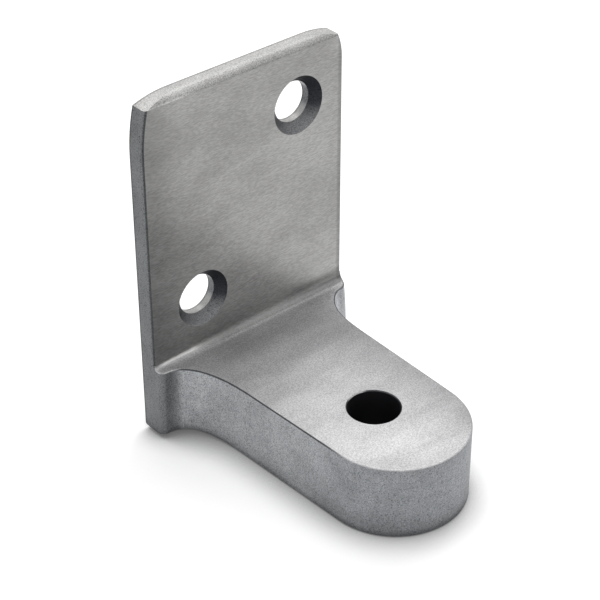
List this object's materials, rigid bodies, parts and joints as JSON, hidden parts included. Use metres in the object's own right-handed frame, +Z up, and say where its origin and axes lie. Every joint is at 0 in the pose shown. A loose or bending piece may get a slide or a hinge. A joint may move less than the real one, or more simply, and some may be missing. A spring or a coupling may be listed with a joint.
{
  "type": "hinge bracket",
  "caption": "Satin steel hinge bracket with an upright countersunk mounting plate and a thick pivot arm that flares smoothly into the plate's foot.",
  "frame": {"origin": "on the pivot hole's axis, in the plane of the flat underside", "axes": "+Z up the pivot axis, +Y towards the plate and out of its back face, +X along the plate's width"},
  "size_m": [0.05, 0.062, 0.0755],
  "materials": {
    "body": "satin, finely brushed along the plate and the cove, with fine grain on the arm"
  },
  "bodies": {
    "root": {"hinge_bracket": "body"}
  },
  "joints": []
}
